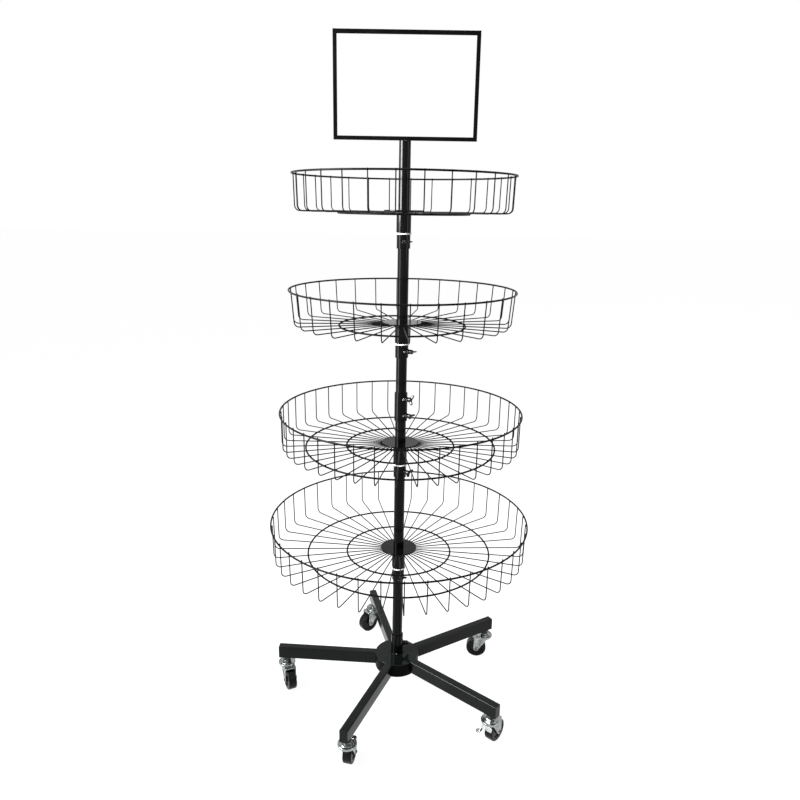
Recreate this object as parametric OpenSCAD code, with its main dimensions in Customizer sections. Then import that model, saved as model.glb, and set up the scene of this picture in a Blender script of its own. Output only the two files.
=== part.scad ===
// Tiered wire basket display on five swivel casters. Four round baskets turn on collars that
// wing screws clamp along a tube pole, and an empty sign frame stands on top.
// Millimetres, Z up. The origin is on the floor, on the pole's axis, and the sign faces -Y.

/* [Pole] */
// Outer diameter of the pole's tube
pole_d = 25; // [22:0.5:30]
// Wall of the pole's tube
pole_wall = 1.5; // [1:0.25:3]
// Length of the lower pole
lower_pole_l = 656; // [600:1:760]
// Length of the upper pole
upper_pole_l = 579; // [540:1:700]
// Outer diameter of the sleeve, the base socket and the stop collars
clamp_tube_d = 30; // [29:0.5:36]
// Length of the coupling sleeve
sleeve_l = 67; // [60:1:90]
// Distance between the sleeve's two wing screws
sleeve_screw_pitch = 39; // [32:1:50]

/* [Base] */
// Diameter of the drum
drum_d = 110; // [90:1:130]
// Height of the drum with its plate
drum_h = 37; // [28:1:48]
// Sheet of the drum
drum_wall = 2.5; // [1.5:0.25:4]
// Radius of the drum's lower edge
drum_edge_r = 5; // [3:0.5:8]
// Thickness of the plate that closes the drum
top_plate_t = 2.5; // [2:0.25:4]
// Reach of the legs from the pole's axis
leg_reach = 306; // [270:1:330]
// Width of a leg's tube
leg_w = 20; // [18:1:30]
// Height of a leg's tube
leg_h = 32; // [24:1:40]
// Wall of a leg's tube
leg_wall = 1.5; // [1:0.25:3]
// Thickness of the cap on a leg's end
leg_cap_t = 3; // [2:0.25:5]
// Direction of the first leg, the one on the right, in degrees from +X
leg_turn = 32.1; // [0:0.1:71]
// Height of the base socket
socket_h = 54; // [46:1:62]
// Drop of the socket's wing screw below its rim
socket_screw_drop = 29.5; // [24:0.5:34]

/* [Casters] */
// Distance from a leg's end to its caster's stem
stem_inset = 19; // [10:0.5:24]
// Diameter of a caster's stem
stem_d = 10; // [8:1:12]
// Height of the stem above the leg's underside
stem_up = 16; // [12:1:20]
// Width across the flats of the nut under a leg
leg_nut_af = 17; // [16:1:19]
// Height of the nut under a leg
leg_nut_h = 8; // [6:0.5:10]
// Diameter of a wheel
wheel_d = 54; // [46:1:60]
// Width of a wheel's tread
wheel_w = 21; // [14:1:24]
// Diameter of a wheel's core
wheel_core_d = 41; // [30:1:43]
// Distance from a caster's stem to its axle
trail = 21; // [16:1:24]
// Diameter of an axle
axle_d = 6; // [5:0.5:8]
// Inner width of a fork
fork_gap_w = 26; // [23:1:29]
// Sheet of a fork
fork_t = 2; // [1.5:0.25:3]
// Gap from the wheel's tread up to the fork's crown
crown_gap = 6; // [5:1:14]
// Diameter of a fork's crown
crown_d = 42; // [38:1:43]
// Diameter of the race over the crown
race_d = 44; // [43:1:48]
// Diameter of a bearing ball
ball_d = 4; // [3:0.5:5]
// Number of balls in a race
balls_per_race = 12; // [8:1:16]
// Width across the flats of the hexagon over the race
stem_hex_af = 19; // [17:1:22]
// Height of that hexagon
stem_hex_h = 5.6; // [4:0.2:8]
// Directions in which the five wheels trail from their stems, from the right leg anticlockwise
trail_turns = [174, 219, 297, 78, 50];

/* [Brakes] */
// Sheet of a brake lever
brake_t = 2; // [1.5:0.25:2.5]
// Gap from a released shoe to the tread
shoe_gap = 4.5; // [3:0.25:6]
// Length of a shoe
shoe_l = 10; // [8:0.5:12]
// Direction of the shoe from the axle, in degrees up from the trail
shoe_turn = 151; // [148:0.5:154]
// Reach of a lever's tab outside its plate
brake_tab_l = 12; // [9:0.5:16]

/* [Wing screws] */
// Diameter of a wing screw's shank
screw_d = 6; // [5:0.5:8]
// Width across the flats of the nut on a clamped tube
clamp_nut_af = 10; // [9:0.5:14]
// Height of the nut on a clamped tube
clamp_nut_h = 5; // [4:0.5:7]
// Bare shank between that nut and the wing head
screw_bare_l = 1.5; // [1:0.25:5]
// Diameter of a wing head's boss
boss_d = 11; // [10:0.5:14]
// Length of a wing head's boss
boss_l = 7; // [6:0.5:12]
// Half the span of the two wings
wing_reach = 12; // [11:0.5:15]
// Thickness of a wing
wing_t = 3.2; // [2.5:0.1:5]

/* [Tiers] */
// Height of a stop collar
collar_h = 30; // [24:1:36]
// Diameter of the washer under a hub
washer_d = 35; // [33:0.5:44]
// Thickness of the washer under a hub
washer_t = 3; // [2:0.25:5]
// Drop from the pole's top to the first washer
tier_1_drop = 188; // [170:1:230]
// Distance from the first washer down to the second
tier_2_pitch = 242; // [200:1:250]
// Drop from the pole's joint to the third washer
tier_3_drop = 140; // [132:1:150]
// Distance from the third washer down to the fourth
tier_4_pitch = 272; // [240:1:300]

/* [Baskets] */
// Rim diameters from the top basket down, measured at the middle of the wire
rim_ds = [475, 500, 555, 612];
// Heights from the floor wires up to the rim, from the top down
depths = [76, 76, 82, 82];
// How much less the floor's radius is than the wall's at the rim, from the top down
tapers = [2, 6, 0.5, 2];
// Numbers of bent wires, from the top down
wire_counts = [28, 28, 40, 40];
// Directions of the first wire of each basket, in degrees from +X
wire_turns = [9, 3.5, 7.5, 2.5];
// Diameters of the rings under the floors, from the top down
floor_ring_ds = [[282], [282], [440, 251], [440, 251]];
// Lengths of the hub tubes, from the top down
hub_ls = [45, 45, 51, 51];
// Diameter of a bent wire
wire_d = 2.5; // [2:0.1:3]
// Diameter of the rims' wire
rim_wire_d = 4; // [3:0.25:6]
// Diameter of the wire of the floor rings
ring_wire_d = 4; // [3:0.25:6]
// Radius of a wire's bend, at its middle
bend_r = 11; // [6:0.5:20]
// How much thicker a wire is in its bend
bend_swell = 0.06; // [0.04:0.01:0.2]
// Height of the wires' ends above the rim
wire_over = 0.5; // [0:0.25:2]
// Diameter of a hub's plate
hub_plate_d = 87; // [80:1:110]
// Thickness of a hub's plate
hub_plate_t = 3; // [2:0.25:5]
// Outer diameter of a hub's tube
hub_tube_d = 32; // [30.5:0.5:40]
// Distance from the pole's axis to the wires' inner ends
wire_start_r = 30; // [26:0.5:36]

/* [Sign] */
// Outer width of the sign frame
sign_w = 300; // [200:1:420]
// Outer height of the sign frame
sign_h = 210; // [150:1:420]
// Face width of the frame's bars
sign_bar = 8; // [6:0.5:14]
// Depth of the frame from front to back
sign_depth = 6; // [5:0.25:10]
// Wall of the frame's channel
sign_wall = 1.2; // [0.8:0.1:1.6]
// Length of the stem in the pole
sign_stem_l = 60; // [40:1:90]
// Wall of the stem
sign_stem_wall = 1.5; // [1:0.25:3]

/* [Clearances] */
// Between pieces that are welded together
weld_gap = 0.05; // [0.02:0.01:0.1]
// Radial, between a turning or sliding piece and what it runs on
run_clear = 0.05; // [0.02:0.01:0.1]
// Radial, between a hub and the pole
hub_clear = 0.08; // [0.04:0.01:0.1]
// Radial, between the sign's stem and the pole's bore
sign_clear = 0.1; // [0.05:0.01:0.1]
// Radial, between a washer and the pole
washer_clear = 0.2; // [0.1:0.05:0.5]
// Between flat faces that turn past each other
face_gap = 0.3; // [0.1:0.05:0.5]
// Radial, round a screw or stem in a plain hole
hole_clear = 0.3; // [0.2:0.05:0.6]

/* [Hidden] */
$fn = 64;
hex_sides = 6;
eps = 1;

leg_count = 5;
leg_pitch = 360 / leg_count;

// Heights, from the floor up
crown_z = wheel_d + crown_gap;
crown_top_z = crown_z + fork_t;
ball_sink = ball_d * 0.2;
ball_z = crown_top_z + ball_d / 2 - ball_sink;
race_z = ball_z + ball_d / 2 - ball_sink;
race_t = 2;
race_lip = 1.8;
stem_hex_z = race_z + race_t;
leg_nut_z = stem_hex_z + stem_hex_h;
leg_z = leg_nut_z + leg_nut_h;
base_top_z = leg_z + leg_h;
socket_z = base_top_z;
joint_z = base_top_z + lower_pole_l;
pole_top_z = joint_z + upper_pole_l;
sign_z = pole_top_z + face_gap;

tier_1_z = pole_top_z - tier_1_drop;
tier_3_z = joint_z - tier_3_drop;
tier_zs = [tier_1_z, tier_1_z - tier_2_pitch, tier_3_z, tier_3_z - tier_4_pitch];

// Radii and lengths on the base
stem_r = leg_reach - stem_inset;
fork_half_w = fork_gap_w / 2;
fork_end_r = 7;
fork_front_x = trail + fork_end_r;
fork_hood = 3;
ball_rim_w = 1.5;
ball_ring_r = crown_d / 2 - ball_d / 2 - ball_rim_w;
hex_corner = 1 / cos(180 / hex_sides);

// How far a wire's straight runs reach into its bend
run_in = 0.3;

// Directions of the wing screws, and how far each head is turned about its shank
base_screw_turn = 12;
sleeve_screw_turn = -33;
tier_screw_turns = [-75, -30, -38, -70];
base_head_turn = -25;
sleeve_head_turns = [68, 12];
tier_head_turns = [5, 0, 33, 10];

// Points along a wing screw, from the pole's axis outwards
screw_tip_x = pole_d / 2 + run_clear;
clamp_nut_x = clamp_tube_d / 2 + clamp_nut_h;
boss_x = clamp_nut_x + screw_bare_l;
boss_end_t = 2;
boss_grip = boss_l - boss_end_t;

// The brake lever's rivet, seen from the stem along the trail
rivet_x = 6;
rivet_drop = 12;
rivet_z = crown_z - rivet_drop;
rivet_d = 5;
rivet_head_d = 8;
rivet_head_t = 1.5;
lever_round_r = 6;
brake_tab_w = 13;
brake_y = fork_half_w + fork_t + face_gap;

// Height of the floor wires' middle in basket k
function floor_z(k) = tier_zs[k] + hub_ls[k] - weld_gap - wire_d / 2;

// Radius of the wires' middle where basket k's rim is welded on
function wall_r(k) = rim_ds[k] / 2 - rim_wire_d / 2 - weld_gap - wire_d / 2;

// Direction of leg i
function leg_dir(i) = leg_turn + i * leg_pitch;

module tube(d, wall, h) {
    difference() {
        cylinder(d = d, h = h);
        translate([0, 0, -eps]) cylinder(d = d - 2 * wall, h = h + 2 * eps);
    }
}

module hex_nut(af, h, bore) {
    difference() {
        cylinder(d = af * hex_corner, h = h, $fn = hex_sides);
        translate([0, 0, -eps]) cylinder(d = bore, h = h + 2 * eps);
    }
}

// A place on the pole at height z, with +X pointing out at the given direction
module at_pole(z, turn) {
    translate([0, 0, z]) rotate([0, 0, turn]) children();
}

// The stem of caster i on the floor, with +X pointing out along leg i
module at_stem(i) {
    rotate([0, 0, leg_dir(i)]) translate([stem_r, 0, 0]) children();
}

// The stem of caster i on the floor, with +X pointing along its trail
module at_trail(i) {
    at_stem(i) rotate([0, 0, trail_turns[i] - leg_dir(i)]) children();
}

// The axle of caster i, with its length along Z
module at_axle(i) {
    at_trail(i) translate([trail, 0, wheel_d / 2]) rotate([90, 0, 0]) children();
}

// A cut through one side of a clamped tube, for a wing screw along +X
module screw_hole() {
    rotate([0, 90, 0]) cylinder(d = screw_d + 2 * hole_clear, h = clamp_tube_d);
}

// A nut that is welded to a clamped tube, with its bore along +X
module clamp_nut() {
    difference() {
        translate([pole_d / 2, 0, 0]) rotate([0, 90, 0])
            hex_nut(clamp_nut_af, clamp_nut_x - pole_d / 2, screw_d + 2 * run_clear);
        translate([0, 0, -clamp_nut_af]) cylinder(r = clamp_tube_d / 2 + weld_gap, h = 2 * clamp_nut_af);
    }
}

// One wing seen along the boss's side: a blade that leans outwards to a round tip
module wing_outline() {
    tip_r = 3.4;
    tip_over = 2;
    tip_turn = 30;
    root_x = boss_x + 2;
    root_drop = 2;
    tip_x = boss_x + boss_l + tip_over;
    tip_y = wing_reach - tip_r;
    translate([tip_x, tip_y]) circle(r = tip_r);
    polygon([[root_x, 0], [root_x, boss_d / 2], [tip_x - tip_r, tip_y], [tip_x, tip_y],
        [tip_x + tip_r * cos(tip_turn), tip_y - tip_r * sin(tip_turn)],
        [boss_x + boss_l, boss_d / 2 - root_drop], [boss_x + boss_l, 0]]);
}

// A steel shank in a black head with two wings, along +X from the pole
module wing_screw(head_turn) {
    color("silver") translate([screw_tip_x, 0, 0]) rotate([0, 90, 0])
        cylinder(d = screw_d, h = boss_x + boss_grip - screw_tip_x);
    color([0.07, 0.07, 0.07]) rotate([head_turn, 0, 0]) difference() {
        union() {
            translate([boss_x, 0, 0]) rotate([0, 90, 0]) cylinder(d = boss_d, h = boss_l);
            for (side = [0, 1])
                mirror([0, side, 0]) translate([0, 0, -wing_t / 2]) linear_extrude(wing_t) wing_outline();
        }
        translate([boss_x - eps, 0, 0]) rotate([0, 90, 0])
            cylinder(d = screw_d + 2 * weld_gap, h = boss_grip + eps + weld_gap);
    }
}

// A pressed cup with a rounded lower edge, open at the top
module base_drum() {
    cup_h = drum_h - top_plate_t;
    color([0.05, 0.05, 0.05]) translate([0, 0, base_top_z - drum_h]) difference() {
        union() {
            translate([0, 0, drum_edge_r]) cylinder(d = drum_d, h = cup_h - drum_edge_r);
            cylinder(d = drum_d - 2 * drum_edge_r, h = drum_edge_r);
            translate([0, 0, drum_edge_r]) rotate_extrude()
                translate([drum_d / 2 - drum_edge_r, 0]) intersection() {
                    circle(r = drum_edge_r);
                    translate([0, -drum_edge_r]) square(drum_edge_r);
                }
        }
        translate([0, 0, drum_wall]) cylinder(d = drum_d - 2 * drum_wall, h = cup_h);
    }
}

module base_top_plate() {
    color([0.17, 0.18, 0.18]) translate([0, 0, base_top_z - top_plate_t])
        cylinder(d = drum_d, h = top_plate_t);
}

module base_socket() {
    color([0.08, 0.08, 0.08]) difference() {
        translate([0, 0, socket_z]) difference() {
            cylinder(d = clamp_tube_d, h = socket_h);
            translate([0, 0, -eps]) cylinder(d = pole_d + 2 * run_clear, h = socket_h + 2 * eps);
        }
        at_pole(socket_z + socket_h - socket_screw_drop, base_screw_turn) screw_hole();
    }
}

// Rectangular tubes that butt against the drum, with a hole for the caster's stem
module legs() {
    tube_l = leg_reach - leg_cap_t;
    color([0.14, 0.15, 0.15]) for (i = [0 : leg_count - 1]) rotate([0, 0, leg_dir(i)]) difference() {
        translate([0, -leg_w / 2, leg_z]) cube([tube_l, leg_w, leg_h]);
        translate([-eps, leg_wall - leg_w / 2, leg_z + leg_wall])
            cube([tube_l + 2 * eps, leg_w - 2 * leg_wall, leg_h - 2 * leg_wall]);
        translate([0, 0, leg_z - eps]) cylinder(d = drum_d + 2 * weld_gap, h = leg_h + 2 * eps);
        translate([stem_r, 0, leg_z - eps]) cylinder(d = stem_d + 2 * hole_clear, h = leg_wall + 2 * eps);
    }
}

module leg_end_caps() {
    color([0.14, 0.15, 0.15]) for (i = [0 : leg_count - 1]) rotate([0, 0, leg_dir(i)])
        translate([leg_reach - leg_cap_t, -leg_w / 2, leg_z]) cube([leg_cap_t, leg_w, leg_h]);
}

// The nuts under the legs, and those on the socket and the coupling sleeve
module weld_nuts() {
    color([0.1, 0.1, 0.1]) for (i = [0 : leg_count - 1])
        at_stem(i) translate([0, 0, leg_nut_z]) hex_nut(leg_nut_af, leg_nut_h, stem_d + 2 * run_clear);
    color("silver") at_pole(socket_z + socket_h - socket_screw_drop, base_screw_turn) clamp_nut();
    color("silver") for (side = [-1, 1])
        at_pole(joint_z + side * sleeve_screw_pitch / 2, sleeve_screw_turn) clamp_nut();
}

// Each stem is one turned and pressed piece: a rivet head under the crown, the pin that the fork
// turns on, the upper race with its lip, a hexagon, and the thread that goes up into the leg
module caster_stems() {
    rivet_foot_t = 2.5;
    rivet_foot_w = 3;
    rivet_foot_d = stem_d + 2 * rivet_foot_w;
    foot_z = crown_z - face_gap - rivet_foot_t;
    lip_z = crown_top_z + face_gap;
    color("silver") for (i = [0 : leg_count - 1]) at_stem(i) difference() {
        union() {
            translate([0, 0, foot_z]) cylinder(d = rivet_foot_d, h = rivet_foot_t);
            translate([0, 0, foot_z]) cylinder(d = stem_d, h = leg_z + stem_up - foot_z);
            translate([0, 0, race_z]) cylinder(d = race_d, h = race_t);
            translate([0, 0, lip_z]) tube(race_d, race_lip, race_z + race_t - lip_z);
            translate([0, 0, stem_hex_z])
                cylinder(d = stem_hex_af * hex_corner, h = stem_hex_h, $fn = hex_sides);
        }
        ball_groove();
    }
}

// The ring-shaped track that the balls of one caster run in
module ball_groove() {
    translate([0, 0, ball_z]) rotate_extrude()
        translate([ball_ring_r, 0]) circle(d = ball_d + 2 * run_clear);
}

module caster_balls() {
    color("silver") for (i = [0 : leg_count - 1]) at_stem(i)
        for (b = [0 : balls_per_race - 1]) rotate([0, 0, b * 360 / balls_per_race])
            translate([ball_ring_r, 0, ball_z]) sphere(d = ball_d);
}

module lower_pole() {
    color([0.09, 0.09, 0.09]) translate([0, 0, socket_z]) tube(pole_d, pole_wall, lower_pole_l);
}

module upper_pole() {
    color([0.09, 0.09, 0.09]) translate([0, 0, joint_z]) tube(pole_d, pole_wall, upper_pole_l);
}

module coupling_sleeve() {
    color([0.08, 0.08, 0.08]) difference() {
        translate([0, 0, joint_z - sleeve_l / 2]) difference() {
            cylinder(d = clamp_tube_d, h = sleeve_l);
            translate([0, 0, -eps]) cylinder(d = pole_d + 2 * run_clear, h = sleeve_l + 2 * eps);
        }
        for (side = [-1, 1])
            at_pole(joint_z + side * sleeve_screw_pitch / 2, sleeve_screw_turn) screw_hole();
    }
}

module base_wing_screw() {
    at_pole(socket_z + socket_h - socket_screw_drop, base_screw_turn) wing_screw(base_head_turn);
}

// Side -1 is the lower wing screw of the coupling sleeve, and side 1 the upper one
module sleeve_wing_screw(side) {
    at_pole(joint_z + side * sleeve_screw_pitch / 2, sleeve_screw_turn)
        wing_screw(sleeve_head_turns[side > 0 ? 0 : 1]);
}

module tier_wing_screw(k) {
    at_pole(tier_zs[k] - washer_t - collar_h / 2, tier_screw_turns[k]) wing_screw(tier_head_turns[k]);
}

// A stop collar with its welded nut
module tier_collar(k) {
    collar_z = tier_zs[k] - washer_t - collar_h;
    color([0.08, 0.08, 0.08]) difference() {
        translate([0, 0, collar_z]) difference() {
            cylinder(d = clamp_tube_d, h = collar_h);
            translate([0, 0, -eps]) cylinder(d = pole_d + 2 * run_clear, h = collar_h + 2 * eps);
        }
        at_pole(collar_z + collar_h / 2, tier_screw_turns[k]) screw_hole();
    }
    color("silver") at_pole(collar_z + collar_h / 2, tier_screw_turns[k]) clamp_nut();
}

module tier_washer(k) {
    color([0.95, 0.95, 0.93]) translate([0, 0, tier_zs[k] - washer_t]) difference() {
        cylinder(d = washer_d, h = washer_t);
        translate([0, 0, -eps]) cylinder(d = pole_d + 2 * washer_clear, h = washer_t + 2 * eps);
    }
}

module basket_rim(k) {
    color([0.06, 0.06, 0.06]) translate([0, 0, floor_z(k) + depths[k]])
        rotate_extrude() translate([rim_ds[k] / 2, 0]) circle(d = rim_wire_d);
}

// One wire of basket k: a straight run under the hub's plate, a bend, and a run up inside the rim.
// The wall leans out by the taper, so the bend turns a little less than a quarter turn. The bend is
// a hair thicker than the straight runs, as bent wire is, and they reach a little way into it.
module bent_wire(k) {
    corner_r = wall_r(k) - tapers[k];
    lean = atan(tapers[k] / depths[k]);
    tangent_l = bend_r * tan((90 - lean) / 2);
    wall_l = (depths[k] + rim_wire_d / 2 + wire_over) / cos(lean) - tangent_l;
    translate([wire_start_r, 0, 0]) rotate([0, 90, 0])
        cylinder(d = wire_d, h = corner_r - tangent_l - wire_start_r + run_in);
    translate([corner_r - tangent_l, 0, bend_r]) rotate([90, 0, 0]) rotate([0, 0, -90])
        rotate_extrude(angle = 90 - lean) translate([bend_r, 0]) circle(d = wire_d + bend_swell);
    translate([corner_r + tangent_l * sin(lean), 0, tangent_l * cos(lean)]) rotate([0, lean, 0])
        translate([0, 0, -run_in]) cylinder(d = wire_d, h = wall_l + run_in);
}

module basket_wires(k) {
    color([0.1, 0.1, 0.1]) translate([0, 0, floor_z(k)]) for (i = [0 : wire_counts[k] - 1])
        rotate([0, 0, wire_turns[k] + i * 360 / wire_counts[k]]) bent_wire(k);
}

module basket_floor_rings(k) {
    ring_z = floor_z(k) - wire_d / 2 - weld_gap - ring_wire_d / 2;
    color([0.06, 0.06, 0.06]) translate([0, 0, ring_z]) for (ring_d = floor_ring_ds[k])
        rotate_extrude() translate([ring_d / 2, 0]) circle(d = ring_wire_d);
}

// A disc over the wires' inner ends, and the tube under it that stands on the washer
module basket_hub(k) {
    hub_bore = pole_d + 2 * hub_clear;
    tube_h = hub_ls[k];
    color([0.13, 0.13, 0.13]) translate([0, 0, tier_zs[k]]) difference() {
        union() {
            cylinder(d = hub_tube_d, h = tube_h + hub_plate_t);
            translate([0, 0, tube_h]) cylinder(d = hub_plate_d, h = hub_plate_t);
        }
        translate([0, 0, -eps]) cylinder(d = hub_bore, h = tube_h + hub_plate_t + 2 * eps);
    }
}

// A channel frame open inwards, with a slot in its top bar that a sheet drops through, and the
// tube under it that turns in the pole
module sign_frame() {
    slot_t = sign_depth - 2 * sign_wall;
    stem_d_sign = pole_d - 2 * pole_wall - 2 * sign_clear;
    window_w = sign_w - 2 * sign_bar;
    window_h = sign_h - 2 * sign_bar;
    color([0.08, 0.08, 0.08]) translate([-sign_w / 2, -sign_depth / 2, sign_z]) difference() {
        cube([sign_w, sign_depth, sign_h]);
        translate([sign_bar, -eps, sign_bar]) cube([window_w, sign_depth + 2 * eps, window_h]);
        translate([sign_wall, sign_wall, sign_wall])
            cube([sign_w - 2 * sign_wall, slot_t, sign_h - sign_wall + eps]);
    }
    color("silver") translate([0, 0, pole_top_z - sign_stem_l])
        tube(stem_d_sign, sign_stem_wall, sign_stem_l + face_gap - weld_gap);
}

// One side plate of a fork seen along the axle, from the crown down to a round end. Its rear edge is
// a tangent of that end, and its front edge is plumb.
module fork_plate_outline() {
    rear_x = -11;
    drop = crown_top_z - wheel_d / 2;
    rear_dx = trail - rear_x;
    meet_turn = atan2(drop, -rear_dx) + acos(fork_end_r / sqrt(rear_dx * rear_dx + drop * drop));
    translate([trail, wheel_d / 2]) circle(r = fork_end_r);
    polygon([[rear_x, crown_top_z],
        [trail + fork_end_r * cos(meet_turn), wheel_d / 2 + fork_end_r * sin(meet_turn)],
        [trail, wheel_d / 2], [fork_front_x, wheel_d / 2], [fork_front_x, crown_top_z]]);
}

// A pressed fork whose crown stands out a little over the plates' front edges. It has the lower
// race and, where it carries a brake lever, the rivet for it.
module caster_fork(i, has_brake) {
    outer_w = fork_gap_w + 2 * fork_t;
    color("silver") at_trail(i) difference() {
        union() {
            translate([0, 0, crown_z]) cylinder(d = crown_d, h = fork_t);
            translate([0, -outer_w / 2, crown_z]) cube([fork_front_x + fork_hood, outer_w, fork_t]);
            for (y = [-fork_half_w, fork_half_w + fork_t])
                translate([0, y, 0]) rotate([90, 0, 0]) linear_extrude(fork_t) fork_plate_outline();
            if (has_brake) brake_rivet();
        }
        translate([0, 0, crown_z - eps]) cylinder(d = stem_d + 2 * run_clear, h = fork_t + 2 * eps);
        translate([trail, outer_w, wheel_d / 2]) rotate([90, 0, 0])
            cylinder(d = axle_d + 2 * run_clear, h = 2 * outer_w);
        ball_groove();
    }
}

// The pin on the fork's side plate that a brake lever turns on, with its head
module brake_rivet() {
    root_y = fork_half_w + fork_t / 2;
    head_y = brake_y + brake_t + face_gap;
    translate([rivet_x, head_y, rivet_z]) rotate([90, 0, 0]) cylinder(d = rivet_d, h = head_y - root_y);
    translate([rivet_x, head_y + rivet_head_t, rivet_z]) rotate([90, 0, 0])
        cylinder(d = rivet_head_d, h = rivet_head_t);
}

// A bolt through the fork with a hexagon head on one side and a nut on the other
module caster_axle(i) {
    head_h = 4;
    nut_h = 5;
    outer_w = fork_gap_w + 2 * fork_t;
    color("silver") at_axle(i) {
        translate([0, 0, -outer_w / 2 - nut_h]) cylinder(d = axle_d, h = outer_w + nut_h);
        translate([0, 0, outer_w / 2])
            cylinder(d = clamp_nut_af * hex_corner, h = head_h, $fn = hex_sides);
        translate([0, 0, -outer_w / 2 - nut_h]) hex_nut(clamp_nut_af, nut_h, axle_d + 2 * weld_gap);
    }
}

// A soft tread on a moulded core whose boss runs between the fork's plates
module caster_wheel(i) {
    boss_w = fork_gap_w - 2 * face_gap;
    boss_wall = 4;
    shoulder = 2;
    core_in = 0.5;
    web_in = 3;
    lip_w = 3;
    core_w = wheel_w - 2 * core_in;
    color([0.2, 0.2, 0.2]) at_axle(i) difference() {
        union() {
            cylinder(d = wheel_d, h = wheel_w - 2 * shoulder, center = true);
            cylinder(d = wheel_d - 2 * shoulder, h = wheel_w, center = true);
            for (side = [-1, 1]) translate([0, 0, side * (wheel_w / 2 - shoulder)]) rotate_extrude()
                translate([wheel_d / 2 - shoulder, 0]) circle(r = shoulder);
        }
        cylinder(d = wheel_core_d + 2 * weld_gap, h = 2 * wheel_w, center = true);
    }
    color([0.1, 0.1, 0.1]) at_axle(i) difference() {
        union() {
            cylinder(d = wheel_core_d, h = wheel_w - 2 * web_in, center = true);
            difference() {
                cylinder(d = wheel_core_d, h = core_w, center = true);
                cylinder(d = wheel_core_d - 2 * lip_w, h = 2 * wheel_w, center = true);
            }
            cylinder(d = axle_d + 2 * boss_wall, h = boss_w, center = true);
        }
        cylinder(d = axle_d + 2 * run_clear, h = 2 * wheel_w, center = true);
    }
}

// A bent plate: a side plate on the rivet, a tab to press, and a shoe that reaches in over the tread
module brake_lever(i) {
    tab_back = 21;
    tab_drop = 16;
    heel_back = 3;
    heel_r = 5.2;
    tab_x = rivet_x - tab_back;
    tab_z = rivet_z - tab_drop;
    shoe_r = wheel_d / 2 + shoe_gap;
    color("silver") at_trail(i) difference() {
        union() {
            translate([0, brake_y + brake_t, 0]) rotate([90, 0, 0]) linear_extrude(brake_t) {
                translate([rivet_x, rivet_z]) circle(r = lever_round_r);
                polygon([[rivet_x, rivet_z + lever_round_r], [tab_x - brake_tab_w / 2, tab_z + brake_t / 2],
                    [tab_x - brake_tab_w / 2, tab_z - brake_t / 2],
                    [tab_x + brake_tab_w / 2, tab_z - brake_t / 2],
                    [rivet_x - heel_back, rivet_z - heel_r]]);
            }
            translate([tab_x, brake_y + brake_tab_l - brake_tab_w / 2, tab_z - brake_t / 2])
                cylinder(d = brake_tab_w, h = brake_t);
            translate([tab_x - brake_tab_w / 2, brake_y, tab_z - brake_t / 2])
                cube([brake_tab_w, brake_tab_l - brake_tab_w / 2, brake_t]);
            translate([trail, 0, wheel_d / 2]) rotate([0, -shoe_turn, 0])
                translate([shoe_r, -wheel_w / 2, -shoe_l / 2])
                cube([brake_t, wheel_w / 2 + brake_y + brake_t, shoe_l]);
        }
        translate([rivet_x, brake_y - eps, rivet_z]) rotate([-90, 0, 0])
            cylinder(d = rivet_d + 2 * run_clear, h = brake_t + 2 * eps);
    }
}

base_drum();
base_top_plate();
base_socket();
legs();
leg_end_caps();
weld_nuts();
caster_stems();
caster_balls();
lower_pole();
upper_pole();
coupling_sleeve();
base_wing_screw();
sleeve_wing_screw(-1);  // sleeve_lower_wing_screw
sleeve_wing_screw(1);  // sleeve_upper_wing_screw
tier_wing_screw(0);  // tier_1_wing_screw
tier_wing_screw(1);  // tier_2_wing_screw
tier_wing_screw(2);  // tier_3_wing_screw
tier_wing_screw(3);  // tier_4_wing_screw
tier_collar(0);  // tier_1_collar
tier_collar(1);  // tier_2_collar
tier_collar(2);  // tier_3_collar
tier_collar(3);  // tier_4_collar
tier_washer(0);  // tier_1_washer
tier_washer(1);  // tier_2_washer
tier_washer(2);  // tier_3_washer
tier_washer(3);  // tier_4_washer
basket_rim(0);  // basket_1_rim
basket_rim(1);  // basket_2_rim
basket_rim(2);  // basket_3_rim
basket_rim(3);  // basket_4_rim
basket_wires(0);  // basket_1_wires
basket_wires(1);  // basket_2_wires
basket_wires(2);  // basket_3_wires
basket_wires(3);  // basket_4_wires
basket_floor_rings(0);  // basket_1_floor_rings
basket_floor_rings(1);  // basket_2_floor_rings
basket_floor_rings(2);  // basket_3_floor_rings
basket_floor_rings(3);  // basket_4_floor_rings
basket_hub(0);  // basket_1_hub
basket_hub(1);  // basket_2_hub
basket_hub(2);  // basket_3_hub
basket_hub(3);  // basket_4_hub
sign_frame();
caster_fork(0, false);  // right_caster_fork
caster_fork(1, true);  // rear_caster_fork
caster_fork(2, false);  // left_caster_fork
caster_fork(3, false);  // front_left_caster_fork
caster_fork(4, true);  // front_right_caster_fork
caster_axle(0);  // right_caster_axle
caster_axle(1);  // rear_caster_axle
caster_axle(2);  // left_caster_axle
caster_axle(3);  // front_left_caster_axle
caster_axle(4);  // front_right_caster_axle
caster_wheel(0);  // right_caster_wheel
caster_wheel(1);  // rear_caster_wheel
caster_wheel(2);  // left_caster_wheel
caster_wheel(3);  // front_left_caster_wheel
caster_wheel(4);  // front_right_caster_wheel
brake_lever(1);  // rear_brake_lever
brake_lever(4);  // front_right_brake_lever
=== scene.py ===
# %% [markdown]
# Tiered wire basket display. A shop floor stand: a black tube pole on five casters carries four round wire
# baskets, each on a stop collar that a wing screw clamps, and an empty sign frame on the top. Every step
# has a cell that says what the piece is on the real object and why it is made this way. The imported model
# comes in first, in metres. It carries the bodies and joints, and the pieces made here ride on them.

# %% Load the frame
import math
import bpy
import numpy as np
from mathutils import Matrix


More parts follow.
